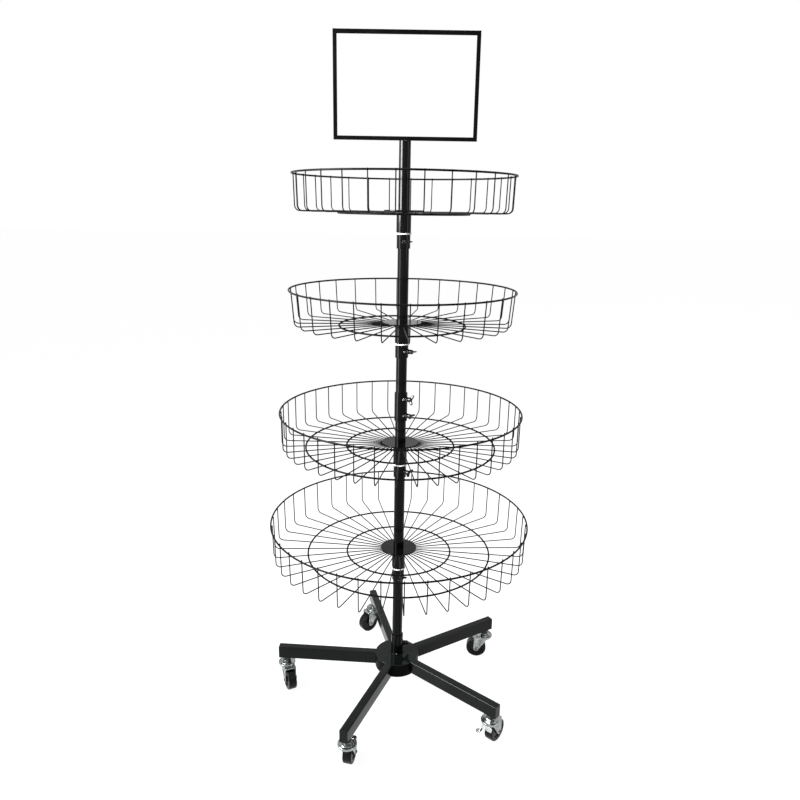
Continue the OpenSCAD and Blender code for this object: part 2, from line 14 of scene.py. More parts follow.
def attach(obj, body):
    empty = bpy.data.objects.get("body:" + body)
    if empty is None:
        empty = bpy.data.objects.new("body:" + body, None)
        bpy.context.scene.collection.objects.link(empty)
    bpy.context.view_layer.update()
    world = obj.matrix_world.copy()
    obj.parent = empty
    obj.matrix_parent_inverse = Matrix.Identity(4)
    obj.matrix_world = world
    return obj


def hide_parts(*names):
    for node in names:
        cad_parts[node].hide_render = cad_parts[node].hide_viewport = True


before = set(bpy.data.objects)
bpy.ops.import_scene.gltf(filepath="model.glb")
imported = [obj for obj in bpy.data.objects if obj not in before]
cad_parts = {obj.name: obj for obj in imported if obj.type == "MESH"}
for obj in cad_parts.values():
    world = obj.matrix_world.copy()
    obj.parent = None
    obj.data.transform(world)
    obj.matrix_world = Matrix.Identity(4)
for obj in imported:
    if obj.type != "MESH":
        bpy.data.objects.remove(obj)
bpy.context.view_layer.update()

# %% [markdown]
# All the sizes are in millimetres, with heights above the floor and the pole's axis at x = y = 0. They are
# the sizes that the object was constructed with, so each new surface lands where the solid that it stands
# for is.

# %% Sizes of the pole and its clamps
MM = 0.001
POLE_D = 25.0
POLE_BORE = 22.0
CLAMP_D = 30.0
BASE_TOP = 112.0
SOCKET_H = 54.0
JOINT_Z = 768.0
POLE_TOP = 1347.0
SLEEVE_L = 67.0
SLEEVE_PITCH = 39.0
SOCKET_SCREW_DROP = 29.5
SOCKET_SCREW_Z = BASE_TOP + SOCKET_H - SOCKET_SCREW_DROP
COLLAR_H = 30.0
WASHER_D, WASHER_BORE, WASHER_T = 35.0, 25.4, 3.0
TIERS = range(4)
TIER_Z = [1159.0, 917.0, 628.0, 356.0]
# Pieces that touch stand this far apart, so no two surfaces lie in one plane.
HAIRLINE = 0.05
print("baskets stand on washers whose tops are at", TIER_Z)

# %% Sizes of the baskets, from the top down
RIM_D = [475.0, 500.0, 555.0, 612.0]
DEPTH = [76.0, 76.0, 82.0, 82.0]
TAPER = [2.0, 6.0, 0.5, 2.0]
WIRE_COUNT = [28, 28, 40, 40]
WIRE_TURN = [9.0, 3.5, 7.5, 2.5]
FLOOR_RINGS = [[282.0], [282.0], [440.0, 251.0], [440.0, 251.0]]
HUB_L = [45.0, 45.0, 51.0, 51.0]
HUB_PLATE_D = 87.0
HUB_PLATE_T = 3.0
HUB_TUBE_D = 32.0
WIRE_D = 2.5
RIM_WIRE_D = 4.0
BEND_R = 11.0
WIRE_START = 30.0
FLOOR_Z = [z + hub_l - HAIRLINE - WIRE_D / 2 for z, hub_l in zip(TIER_Z, HUB_L)]
WALL_R = [d / 2 - RIM_WIRE_D / 2 - HAIRLINE - WIRE_D / 2 for d in RIM_D]
print("the wires' middles run up the walls at radii", WALL_R)

# %% Sizes of the base and the casters
DRUM_D, DRUM_H, DRUM_WALL = 110.0, 37.0, 2.5
PLATE_T = 2.5
LEG_Z = 80.0
LEG_W, LEG_H, LEG_WALL = 20.0, 32.0, 1.5
LEG_CORNER_R, LEG_BORE_R = 2.6, 1.2
LEG_REACH = 306.0
LEG_CAP_T = 3.0
LEGS = range(5)
LEG_TURN = [32.1 + 72 * i for i in LEGS]
STEM_INSET = 19.0
STEM_R = LEG_REACH - STEM_INSET
TRAIL_TURN = [174.0, 219.0, 297.0, 78.0, 50.0]
CASTERS = ["right", "rear", "left", "front_left", "front_right"]
BRAKED = {1: "rear_brake", 4: "front_right_brake"}
WHEEL_D, WHEEL_W, CORE_D = 54.0, 21.0, 41.0
TRAIL = 21.0
AXLE_D = 6.0
FORK_GAP, FORK_T, FORK_END_R = 26.0, 2.0, 7.0
FORK_SIDE = FORK_GAP / 2 + FORK_T
FORK_REAR_X, FORK_FRONT_X, FORK_HOOD = -11.0, TRAIL + FORK_END_R, 3.0
CROWN_D, CROWN_Z = 42.0, 60.0
CROWN_TOP = CROWN_Z + FORK_T
RACE_D, RACE_Z, RACE_T = 44.0, 64.4, 2.0
BALL_RING_R = 17.5
STEM_HEX_Z, STEM_HEX_H, STEM_HEX_AF = 66.4, 5.6, 19.0
STEM_D, STEM_HOLE_D = 10.0, 10.1
LEG_NUT_Z, LEG_NUT_AF = 72.0, 17.0
NUT_AF, NUT_H = 10.0, 5.0
print("the caster stems stand at radius", STEM_R)

# %% [markdown]
# Placing. A piece is worked out where its shape is simplest, such as a caster with its trail along X, and
# is then carried to its place by one 4 x 4 matrix. The turn happens in the points and not on the object,
# because a finished object has to sit unturned at the origin.

# %% Placing helpers
def turned(degrees, axis="z"):
    """A right-handed turn about one axis, as a 4 x 4 matrix."""
    c, s = math.cos(math.radians(degrees)), math.sin(math.radians(degrees))
    i, j = {"x": (1, 2), "y": (2, 0), "z": (0, 1)}[axis]
    matrix = np.eye(4)
    matrix[[i, j], [i, j]] = c
    matrix[i, j], matrix[j, i] = -s, s
    return matrix


def moved(x, y, z):
    """A shift, as a 4 x 4 matrix."""
    matrix = np.eye(4)
    matrix[:3, 3] = x, y, z
    return matrix


# Three fixed turns and a mirror. STAND_UP carries an outline in X and Y to X and Z, LAY_OUT lays the Z axis
# along X, and FACE_OUT makes X, Y and Z the new Y, Z and X. FLIP_Y mirrors a shape to the other side.
STAND_UP = turned(90, "x")
LAY_OUT = turned(90, "y")
FLIP_Y = np.diag([1.0, -1.0, 1.0, 1.0])
FACE_OUT = np.array([[0, 0, 1, 0], [1, 0, 0, 0], [0, 1, 0, 0], [0, 0, 0, 1.0]])


def put(part, matrix):
    """Each point times the matrix: the turn is the upper left 3 x 3, the shift the last column."""
    points, faces = part
    return points @ matrix[:3, :3].T + matrix[:3, 3], faces


def at_stem(i):
    """The stem of caster i on the floor."""
    return turned(LEG_TURN[i]) @ moved(STEM_R, 0, 0)


def at_trail(i):
    """The same place, with X along the direction in which the wheel trails."""
    return at_stem(i) @ turned(TRAIL_TURN[i] - LEG_TURN[i])


def at_axle(i):
    """The axle of caster i, with its length along Z."""
    return at_trail(i) @ moved(TRAIL, 0, WHEEL_D / 2) @ STAND_UP


print("front right wheel centre:", np.round(at_axle(4)[:3, 3], 1))

# %% [markdown]
# Surfaces. Nearly everything on this stand is a profile carried along a path: tubes, rings, wires, nuts and
# plates. So each surface is a grid of points, rows along the path and columns round the section, computed
# as one array. A loft of bevelled boxes would need no mathematics, but its edges are alike everywhere,
# while a pressed, a sawn and a moulded edge differ here.

# %% Grid surfaces
def outward(points, faces):
    """The enclosed volume is the sum of (a . b x c) / 6 over the triangles: where it is negative, the
    surface is inside out, and every face is turned round."""
    volume = 0.0
    for block in faces:
        corners = points[block]
        for j in range(1, block.shape[1] - 1):
            a, b, c = corners[:, 0], corners[:, j], corners[:, j + 1]
            volume += np.einsum("ij,ij->", a, np.cross(b, c))
    return points, [block[:, ::-1] for block in faces] if volume < 0 else faces


def surface(rings, loop=False):
    """Joins each ring of points to the next with quads. A loop joins the last ring to the first, and
    otherwise a flat face closes each end."""
    rows, cols = rings.shape[:2]
    r = np.arange(rows if loop else rows - 1)[:, None]
    c = np.arange(cols)[None, :]
    r1, c1 = (r + 1) % rows, (c + 1) % cols
    corners = np.broadcast_arrays(r * cols + c, r * cols + c1, r1 * cols + c1, r1 * cols + c)
    faces = [np.stack(corners, -1).reshape(-1, 4)]
    if not loop:
        first = np.arange(cols)[None, :]
        faces += [first[:, ::-1], first + (rows - 1) * cols]
    return outward(rings.reshape(-1, 3), faces)


def joined(parts):
    """Several surfaces as one list of points and faces."""
    starts = np.cumsum([0] + [len(points) for points, _ in parts[:-1]])
    faces = [block + start for (_, blocks), start in zip(parts, starts) for block in blocks]
    return np.concatenate([points for points, _ in parts]), faces


def copied(part, places):
    """One surface at many places: points times every matrix at once, and faces counted on from copy to
    copy."""
    points, faces = part
    places = np.asarray(places)
    many = np.einsum("nij,pj->npi", places[:, :3, :3], points) + places[:, None, :3, 3]
    steps = np.arange(len(places))[:, None, None] * len(points)
    return many.reshape(-1, 3), [(block[None] + steps).reshape(-1, block.shape[1]) for block in faces]


def rounded(points, radii, steps, loop=True):
    """Rounds the corners of an outline. At each corner the arc's centre lies on the bisector, at the radius
    over the sine of half the corner's angle, and the arc's points are turned from one touching point to the
    other."""
    p = np.asarray(points, float)
    r = np.array(np.broadcast_to(radii, len(p)), float)
    if not loop:
        r[[0, -1]] = 0
    a = np.roll(p, 1, 0) - p
    b = np.roll(p, -1, 0) - p
    a /= np.linalg.norm(a, axis=1)[:, None]
    b /= np.linalg.norm(b, axis=1)[:, None]
    half = 0.5 * np.arccos(np.clip((a * b).sum(1), -0.999999, 0.999999))[:, None]
    r = r[:, None]
    bisector = a + b
    bisector /= np.maximum(np.linalg.norm(bisector, axis=1)[:, None], 1e-9)
    centre = p + bisector * r / np.sin(half)
    first = p + a * r / np.tan(half) - centre
    last = p + b * r / np.tan(half) - centre
    sweep = (np.pi - 2 * half)[:, None]
    s = np.linspace(0, 1, steps + 1)[None, :, None]
    arc = (np.sin((1 - s) * sweep) * first[:, None] + np.sin(s * sweep) * last[:, None]) / np.sin(sweep)
    arc = (centre[:, None] + arc).reshape(-1, 2)
    apart = np.linalg.norm(arc - np.roll(arc, 1, 0), axis=1) > 1e-6
    return arc[apart]


def lathe(profile, segments=96, loop=True):
    """Turns a profile of (radius, height) about Z: x = r cos t, y = r sin t. A profile with a bore is a
    loop, and one without starts and ends at a flat face."""
    profile = np.asarray(profile, float)
    t = np.linspace(0, 2 * np.pi, segments, endpoint=False)[None, :]
    r, z = profile[:, :1], profile[:, 1:]
    return surface(np.stack([r * np.cos(t), r * np.sin(t), z + 0 * t], -1), loop)


def turned_solid(profile, radii, steps, segments):
    """A profile that starts and ends near the axis, its corners rounded, turned about Z."""
    return lathe(rounded(profile, radii, steps, loop=False), segments, loop=False)


def tube(outer_d, bore_d, low, high, edge=0.4, segments=96):
    """A tube with its edges broken: four corners of a wall, rounded and turned about Z."""
    ro, ri = outer_d / 2, bore_d / 2
    return lathe(rounded([[ro, low], [ro, high], [ri, high], [ri, low]], edge, 3), segments)


def inset_outline(outline, inset):
    """Moves an outline inwards by a mitred offset: the two edge normals' sum over one plus their
    product."""
    edge = np.roll(outline, -1, 0) - outline
    edge /= np.linalg.norm(edge, axis=1)[:, None]
    after = np.stack([-edge[:, 1], edge[:, 0]], -1)
    before = np.roll(after, 1, 0)
    mitre = (after + before) / (1 + (after * before).sum(1))[:, None]
    return outline + mitre * inset


def slab(outline, low, high, low_edge, high_edge, steps=3):
    """A flat plate with an anticlockwise outline. Its rings run up the side, and at each face they draw in
    along a quarter circle, whose radius may differ from point to point."""
    outline = np.asarray(outline, float)
    low_edge, high_edge = [np.broadcast_to(e, len(outline))[:, None] for e in (low_edge, high_edge)]
    t = np.linspace(0, np.pi / 2, steps + 1)
    rings = [(low_edge * (1 - np.sin(a)), low + low_edge * (1 - np.cos(a))) for a in t]
    rings += [(high_edge * (1 - np.cos(a)), high - high_edge * (1 - np.sin(a))) for a in t]
    return surface(np.stack([np.hstack([inset_outline(outline, i), z + 0 * i]) for i, z in rings]))


def circle(radius, segments, start=0.0, end=360.0):
    """Points on a circle, anticlockwise, without the last one where it is whole."""
    t = np.radians(np.linspace(start, end, segments, endpoint=end - start < 360))
    return radius * np.stack([np.cos(t), np.sin(t)], -1)


def ring_of_wire(ring_r, wire_d, z, segments=192, sides=12):
    """A round wire bent to a ring: radius = ring radius + wire radius times cos v, height = wire radius
    times sin v."""
    v = circle(wire_d / 2, sides)
    return lathe(v + [ring_r, z], segments)


def hex_nut(flats, low, high, bore_d, chamfer=0.8, segments=72):
    """The radius of a hexagon in direction t is half its width over cos((t mod 60) - 30 degrees). The
    chamfer is a cone that cuts its corners, so each ring takes the smaller of the two radii."""
    t = np.linspace(0, 2 * np.pi, segments, endpoint=False)
    hexagon = flats / 2 / np.cos(np.mod(t, np.pi / 3) - np.pi / 6)
    tall = high - low
    rise = np.array([0, 0.12, 0.3, 0.6, 1.0]) * chamfer
    z = np.concatenate([rise, tall - rise[::-1]])
    cone = flats / 2 * 0.97 + np.minimum(z, tall - z) * (flats / 2 * 0.19) / chamfer
    r = np.minimum(hexagon[None, :], cone[:, None])
    if bore_d > 0:
        r = np.vstack([np.full(segments, bore_d / 2), r, np.full(segments, bore_d / 2)])
        z = np.concatenate([[0], z, [tall]])
    rings = np.stack([r * np.cos(t), r * np.sin(t), (low + z)[:, None] + 0 * r], -1)
    return surface(rings, loop=bore_d > 0)


def thread(diameter, low, high, pitch, depth, segments=24):
    """A screw thread: radius = outer radius less depth times a triangle wave of (height / pitch - angle /
    turn)."""
    t = np.linspace(0, 2 * np.pi, segments, endpoint=False)[None, :]
    z = np.linspace(low, high, int((high - low) / pitch * 6) + 2)[:, None]
    wave = np.abs(2 * np.mod(z / pitch - t / (2 * np.pi), 1) - 1)
    ends = np.minimum(z - low, high - z) < 0.3 * pitch
    r = diameter / 2 - depth * np.where(ends, 1, wave)
    return surface(np.stack([r * np.cos(t), r * np.sin(t), z + 0 * t], -1))


def dome(radius, height, rows=5, segments=20):
    """A domed head: a quarter of an ellipse turned about Z, closed by a small flat at its top."""
    v = np.linspace(0, 0.97 * np.pi / 2, rows)
    return lathe(np.stack([radius * np.cos(v), height * np.sin(v)], -1), segments, loop=False)


def bead(length, width, height, rows=5, sides=6):
    """A weld bead as an ellipsoid with flat tips, of a few dozen faces."""
    v = np.linspace(-0.93, 0.93, rows)[:, None]
    t = np.linspace(0, 2 * np.pi, sides, endpoint=False)[None, :]
    r = np.sqrt(1 - v * v)
    x = length / 2 * v + 0 * t
    y = width / 2 * r * np.cos(t)
    z = height / 2 * r * np.sin(t)
    return surface(np.stack([x, y, z], -1))


print("a bead's faces:", sum(len(block) for block in bead(4, 2, 2)[1]))

# %% [markdown]
# Materials. Each finish starts from what the real one is. Colours are sRGB hex values, which one function
# turns to linear light. Patterns read Object coordinates, so they stay fixed to the metal, and their scale
# is one over the size of the grain in metres. Orange peel is really a few millimetres across. The grain of
# the satin coat, the zinc and the plastics is a few tenths of a millimetre, too fine for the render, so it
# is drawn about one to two millimetres wide.

# %% Material helpers
def linear(colour):
    """A hex colour to linear light: each part over 255, then the sRGB curve undone."""
    parts = np.array([int(colour[i:i + 2], 16) for i in (1, 3, 5)]) / 255
    curve = np.where(parts > 0.04045, ((parts + 0.055) / 1.055) ** 2.4, parts / 12.92)
    return (*curve.tolist(), 1.0)


def add(tree, kind, links=(), **settings):
    """Adds one node: settings are its own properties or its inputs' values, links pairs (input, output
    socket)."""
    node = tree.nodes.new(kind)
    for name, value in settings.items():
        if hasattr(node, name):
            setattr(node, name, value)
        else:
            node.inputs[name.replace("_", " ")].default_value = value
    for name, socket in links:
        tree.links.new(node.inputs[name], socket)
    return node


# Where the product of the two noises is under the first value, a finish is all base, and over the second
# all worn.
TONE_LOW, TONE_HIGH = 0.17, 0.362


def finish(name, base, worn, rough, grain_mm, bump_mm, metallic=0.0, specular=0.5, patch_mm=60.0,
           stretch=(1, 1, 1)):
    """A surface with two tones in wide patches, a roughness that follows them, and a fine grain of its own
    height. rough is the pair of roughness values, grain_mm the grain's size, bump_mm its height."""
    material = bpy.data.materials.new(name)
    material.use_nodes = True
    tree = material.node_tree
    shader = tree.nodes["Principled BSDF"]
    place = add(tree, "ShaderNodeTexCoord")
    scaled = add(tree, "ShaderNodeMapping", [("Vector", place.outputs["Object"])], Scale=stretch)
    patches = add(tree, "ShaderNodeTexNoise", [("Vector", scaled.outputs[0])],
                  Scale=1 / (patch_mm * MM), Detail=3.0)
    fine = add(tree, "ShaderNodeTexNoise", [("Vector", scaled.outputs[0])],
               Scale=1 / (grain_mm * MM), Detail=2.0)
    mixed = add(tree, "ShaderNodeMath", [(0, patches.outputs["Fac"]), (1, fine.outputs["Fac"])],
                operation="MULTIPLY")
    tone = add(tree, "ShaderNodeMapRange", [("Value", mixed.outputs[0])], From_Min=TONE_LOW,
               From_Max=TONE_HIGH)
    # A colour mix has its two colours at inputs 6 and 7 and its result at output 2.
    colours = add(tree, "ShaderNodeMix", [("Factor", tone.outputs[0])], data_type="RGBA")
    colours.inputs[6].default_value = linear(base)
    colours.inputs[7].default_value = linear(worn)
    gloss = add(tree, "ShaderNodeMapRange", [("Value", tone.outputs[0])], To_Min=rough[0], To_Max=rough[1])
    bump = add(tree, "ShaderNodeBump", [("Height", fine.outputs["Fac"])], Strength=1.0, Distance=bump_mm * MM)
    tree.links.new(shader.inputs["Base Color"], colours.outputs[2])
    tree.links.new(shader.inputs["Roughness"], gloss.outputs[0])
    tree.links.new(shader.inputs["Normal"], bump.outputs[0])
    shader.inputs["Metallic"].default_value = metallic
    if metallic == 0:
        shader.inputs["Specular IOR Level"].default_value = specular
    return material


print("mid grey in linear light:", round(linear("#808080")[0], 3))

# %% [markdown]
# Gloss black enamel, baked on: the pole, the clamps with their nuts, and the hubs. It is nearly black, with
# a sharp highlight and a faint orange peel about 3 mm across. The legs and the drum's plate have a greyer
# stove enamel that mirrors the pole, and the drum and the sign frame a satin powder coat without
# highlights. The wires are dip coated, black and a little uneven in gloss. The nuts under the legs are
# steel with black oxide, a dull grey black. The same dull black on the axle bolts is painted shade, for the
# dark hollow centre of their heads. The wing heads are moulded black nylon, with a soft gloss.

# %% The black finishes
enamel = finish("gloss_black_baked_enamel", "#030304", "#080809", (0.09, 0.13), 3.0, 0.001, specular=0.1)
charcoal = finish("gloss_charcoal_stove_enamel", "#070a09", "#0e1211", (0.1, 0.16), 2.5, 0.002, specular=0.13)
satin = finish("satin_black_powder_coat", "#040404", "#0a0a0a", (0.3, 0.4), 1.2, 0.006, specular=0.03)
wire_coat = finish("black_dip_coated_wire", "#070708", "#0e0e0f", (0.3, 0.45), 1.5, 0.01, specular=0.04)
# This dull black also colours the axle bolts, where it is painted shade for the dark hollow centre of their
# heads.
black_nut_and_painted_shade = finish("black_oxide_nut_and_painted_axle_shade", "#17181a", "#222325", (0.3, 0.45), 1.0, 0.01, specular=0.4)
head_black = finish("moulded_black_nylon_wing_head", "#08080a", "#101011", (0.18, 0.26), 2.0, 0.006,
                    specular=0.25)
print("the enamel's colour in linear light:", [round(part, 5) for part in linear("#030304")[:3]])

# %% [markdown]
# Bright zinc plate on pressed steel: casters, screw shanks and rivets. It is a white metal with soft
# streaks of the rolling direction and duller patches. The washers are turned white nylon, which is matt and
# slightly waxy. The wheels have a moulded black rubber tread on a black polypropylene core.

# %% The bright finishes and the wheel's plastics
zinc = finish("bright_zinc_plated_steel", "#a9adac", "#666a69", (0.16, 0.28), 1.5, 0.006, metallic=1.0,
              patch_mm=14.0, stretch=(1, 1, 0.35))
nylon = finish("turned_white_nylon", "#f4f4f1", "#ebebe7", (0.42, 0.55), 1.0, 0.01, specular=0.4,
               patch_mm=20.0)
rubber = finish("moulded_black_rubber", "#08090a", "#101213", (0.26, 0.38), 0.9, 0.01, specular=0.12,
                patch_mm=18.0)
core = finish("moulded_black_polypropylene", "#08090a", "#101112", (0.2, 0.3), 1.2, 0.006, specular=0.14,
              patch_mm=16.0)
print("materials:", [material.name for material in bpy.data.materials])

# %% [markdown]
# Making a piece. The points go into the mesh in metres, each surface with its own material. Edges sharper
# than a limit are marked, and face-weighted normals keep large flats flat next to their rounded edges.

# %% Making a piece
made = {}


def make(name, parts, body, nodes, sharp=40):
    """parts are pairs (surface, material). The piece rides on the body and stands for the nodes. An edge
    of more degrees than sharp stays an edge."""
    materials = list(dict.fromkeys(material for _, material in parts))
    points, blocks = joined([part for part, _ in parts])
    index = np.concatenate([np.full(sum(len(block) for block in faces), materials.index(material))
                            for (_, faces), material in parts])
    mesh = bpy.data.meshes.new(name)
    mesh.from_pydata((points * MM).tolist(), [], [face for block in blocks for face in block.tolist()])
    for material in materials:
        mesh.materials.append(material)
    mesh.polygons.foreach_set("material_index", index.astype(np.int32))
    mesh.shade_smooth()
    mesh.set_sharp_from_angle(angle=math.radians(sharp))
    mesh.update()
    piece = bpy.data.objects.new(name, mesh)
    bpy.context.scene.collection.objects.link(piece)
    weighted = piece.modifiers.new("face_weighted_normals", "WEIGHTED_NORMAL")
    weighted.keep_sharp = True
    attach(piece, body)
    if nodes:
        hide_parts(*nodes)
    # A face with n corners is n - 2 triangles.
    made[name] = len(mesh.loops) - 2 * len(mesh.polygons)


print("ready to make pieces, made so far:", len(made))

# %% [markdown]
# The pole: two lengths of 25 mm tube, one on the other, with sawn ends whose edges are broken. They could
# be plain cylinders with a solidify modifier, but a turned wall profile gives the real bore and the broken
# edge at once.

# %% The pole
make("lower_pole_tube", [(tube(POLE_D, POLE_BORE, BASE_TOP, JOINT_Z), enamel)], "base", ["lower_pole"])
make("upper_pole_tube", [(tube(POLE_D, POLE_BORE, JOINT_Z, POLE_TOP, 0.5), enamel)], "base", ["upper_pole"])
print("pole tubes:", made)

# %% [markdown]
# The clamps: a short tube round the pole with a nut welded to its side. The coupling sleeve has two nuts,
# the base socket and each stop collar have one. A small domed rivet stands beside each of the sleeve's
# screws, one more on the second collar and one at the socket's foot.

# %% Clamp tubes, their nuts and rivets
BORE = POLE_D + 0.1
BASE_SCREW_TURN = 12.0
SLEEVE_SCREW_TURN = -33.0
TIER_SCREW_TURNS = [-75.0, -30.0, -38.0, -70.0]
RIVET_TURN, SOCKET_RIVET_TURN = -64.0, -95.0
SCREW_HOLE_D = 6.1
RIVETED_TIER = 1


def clamp_tube(low, high):
    """The short tube of a clamp, with a bore that the pole slides in."""
    return tube(CLAMP_D, BORE, low, high, 0.6)


def clamp_nut():
    """A chamfered nut along X, with a ring of weld where it meets the clamp's wall."""
    wall = CLAMP_D / 2
    nut = hex_nut(NUT_AF, wall - 0.6, wall + NUT_H, SCREW_HOLE_D)
    weld = [[4.6, wall - 1.4], [6.4, wall - 1.1], [6.1, wall + 0.1], [4.6, wall + 1.0]]
    return put(joined([nut, lathe(rounded(weld, 0.5, 2), 24)]), LAY_OUT)


def at_pole(z, turn):
    """A place on the pole's axis, with X pointing out in the given direction."""
    return moved(0, 0, z) @ turned(turn)


def clamp_rivet(z, turn, radius=2.3):
    """A domed head on the clamp's wall."""
    return put(dome(radius, 1.0), at_pole(z, turn) @ moved(CLAMP_D / 2 - 0.15, 0, 0) @ LAY_OUT)


make("base_socket_tube", [(clamp_tube(BASE_TOP, BASE_TOP + SOCKET_H), enamel)], "base", ["base_socket"])
sleeve = clamp_tube(JOINT_Z - SLEEVE_L / 2, JOINT_Z + SLEEVE_L / 2)
make("coupling_sleeve_tube", [(sleeve, enamel)], "base", ["coupling_sleeve"])
sleeve_screws = [JOINT_Z - SLEEVE_PITCH / 2, JOINT_Z + SLEEVE_PITCH / 2]
nuts = [put(clamp_nut(), at_pole(SOCKET_SCREW_Z, BASE_SCREW_TURN))]
nuts += [put(clamp_nut(), at_pole(z, SLEEVE_SCREW_TURN)) for z in sleeve_screws]
leg_nut = hex_nut(LEG_NUT_AF, LEG_NUT_Z, LEG_Z, STEM_HOLE_D, 1.0)
leg_nuts = [put(leg_nut, at_stem(i)) for i in LEGS]
make("welded_nuts", [(joined(leg_nuts), black_nut_and_painted_shade), (joined(nuts), enamel)], "base", ["weld_nuts"])
rivets = [clamp_rivet(z, RIVET_TURN) for z in sleeve_screws]
rivets.append(clamp_rivet(BASE_TOP + 3, SOCKET_RIVET_TURN, 1.6))
make("sleeve_and_socket_rivets", [(joined(rivets), zinc)], "base", [])

for k in TIERS:
    top = TIER_Z[k] - WASHER_T
    mid = top - COLLAR_H / 2
    parts = [(clamp_tube(top - COLLAR_H, top), enamel),
             (put(clamp_nut(), at_pole(mid, TIER_SCREW_TURNS[k])), enamel)]
    if k == RIVETED_TIER:
        parts.append((clamp_rivet(mid, RIVET_TURN), zinc))
    tier = f"tier_{k + 1}"
    make(f"{tier}_stop_collar", parts, tier, [f"{tier}_collar"])
    outer, inner = WASHER_D / 2, WASHER_BORE / 2
    washer = rounded([[outer, top], [outer, TIER_Z[k]], [inner, TIER_Z[k]], [inner, top]],
                     [0.7, 0.7, 0.3, 0.3], 3)
    make(f"{tier}_nylon_washer", [(lathe(washer), nylon)], tier, [f"{tier}_washer"])
print("collars and washers made, pieces so far:", len(made))

# %% [markdown]
# Wing screws: an M6 zinc shank moulded into a black head. The head is a round boss with two leaf-shaped
# wings that lean outwards. A wing is a flattened oval section carried up along a leaning line, and it
# closes at its tip along the same oval. Carving it from a block would give flat cheeks, but the moulded
# wing is soft everywhere.

# %% Wing screws
SCREW_D = 6.0
BOSS_X = CLAMP_D / 2 + NUT_H + 1.5
BOSS_L, BOSS_D = 7.0, 11.0
WING_REACH, WING_T, ROOT_R, TIP_R = 12.0, 3.2, 4.6, 3.4
TIP_X, TIP_Y = BOSS_X + BOSS_L + 2, WING_REACH - TIP_R
SCREW_PITCH, SCREW_DEPTH = 1.0, 0.45
BASE_HEAD_TURN = -25.0
SLEEVE_HEAD_TURNS = [12.0, 68.0]
TIER_HEAD_TURNS = [5.0, 0.0, 33.0, 10.0]


def wing(side):
    """The centre line runs from inside the boss to the tip. The half width eases from root to tip and
    closes as sqrt(1 - s squared) over the last tip radius. The section is a superellipse, flatter than an
    oval."""
    root, tip = np.array([BOSS_X + 3.6, 1.0]), np.array([TIP_X, TIP_Y])
    along = tip - root
    length = np.linalg.norm(along)
    along /= length
    across = np.array([along[1], -along[0]])
    cap = TIP_R * np.sin(np.linspace(0.25, 1.45, 6))
    reach = np.concatenate([np.linspace(0, length, 7), length + cap])
    s = np.clip((reach - length) / TIP_R, 0, 1)
    close = np.sqrt(1 - s * s)
    half = (ROOT_R + (TIP_R - ROOT_R) * np.clip(reach / length, 0, 1)) * close
    thick = WING_T / 2 * (1.15 - 0.2 * np.clip(reach / length, 0, 1)) * close ** 0.7
    t = np.linspace(0, 2 * np.pi, 20, endpoint=False)
    u = np.sign(np.cos(t)) * np.abs(np.cos(t)) ** 0.8
    v = np.sign(np.sin(t)) * np.abs(np.sin(t)) ** 0.8
    flat = (root + reach[:, None] * along)[:, None, :] + (half[:, None] * u)[..., None] * across
    rings = np.concatenate([flat, (thick[:, None] * v)[..., None]], -1)
    rings[..., 1] *= side
    return surface(rings)


def wing_screw(head_turn):
    """Along X from the pole: the shank with its thread, then the boss and wings, turned about the shank."""
    shank = thread(SCREW_D, POLE_D / 2 + HAIRLINE, BOSS_X + BOSS_L - 2, SCREW_PITCH, SCREW_DEPTH)
    shank = put(shank, LAY_OUT)
    profile = [[3.1, 0], [BOSS_D / 2, 0], [BOSS_D / 2 - 0.6, BOSS_L], [0.8, BOSS_L]]
    boss = put(turned_solid(profile, [0, 0.6, 1.4, 0], 4, 40), moved(BOSS_X, 0, 0) @ LAY_OUT)
    head = put(joined([boss, wing(1), wing(-1)]), turned(head_turn, "x"))
    return shank, head


def make_wing_screw(name, body, node, z, turn, head_turn):
    """One wing screw at its clamp, as a piece of two materials."""
    shank, head = [put(part, at_pole(z, turn)) for part in wing_screw(head_turn)]
    make(name, [(shank, zinc), (head, head_black)], body, [node], sharp=50)


make_wing_screw("base_clamp_screw", "base_screw", "base_wing_screw", SOCKET_SCREW_Z, BASE_SCREW_TURN,
                BASE_HEAD_TURN)
for side, z, head_turn in zip(["lower", "upper"], sleeve_screws, SLEEVE_HEAD_TURNS):
    make_wing_screw(f"sleeve_{side}_clamp_screw", f"sleeve_{side}_screw", f"sleeve_{side}_wing_screw", z,
                    SLEEVE_SCREW_TURN, head_turn)
for k in TIERS:
    tier = f"tier_{k + 1}"
    make_wing_screw(f"{tier}_clamp_screw", f"{tier}_screw", f"{tier}_wing_screw",
                    TIER_Z[k] - WASHER_T - COLLAR_H / 2, TIER_SCREW_TURNS[k], TIER_HEAD_TURNS[k])
print("a wing screw's triangles:", made["base_clamp_screw"])

# %% [markdown]
# The baskets. Each has a rim ring, bent wires that run from under the hub's plate out along the floor and
# up inside the rim, and one or two rings welded under the floor. All the wires of a basket are one array:
# the path of one wire is worked out in its own plane and then turned to every direction at once. Where
# wires cross they are spot welded, and the coating leaves a small bead there.

# %% Basket wires
# Weld beads by length, width and height, the rounding of a wire's sheared ends, and how far the wires
# stand over the rim.
RIM_BEAD, HUB_BEAD, RING_BEAD = (4.2, 1.5, 3.2), (7.0, 4.2, 1.8), (3.6, 3.4, 1.7)
END_L, END_SHARE, OVER_RIM = 0.4, 0.7, 0.5


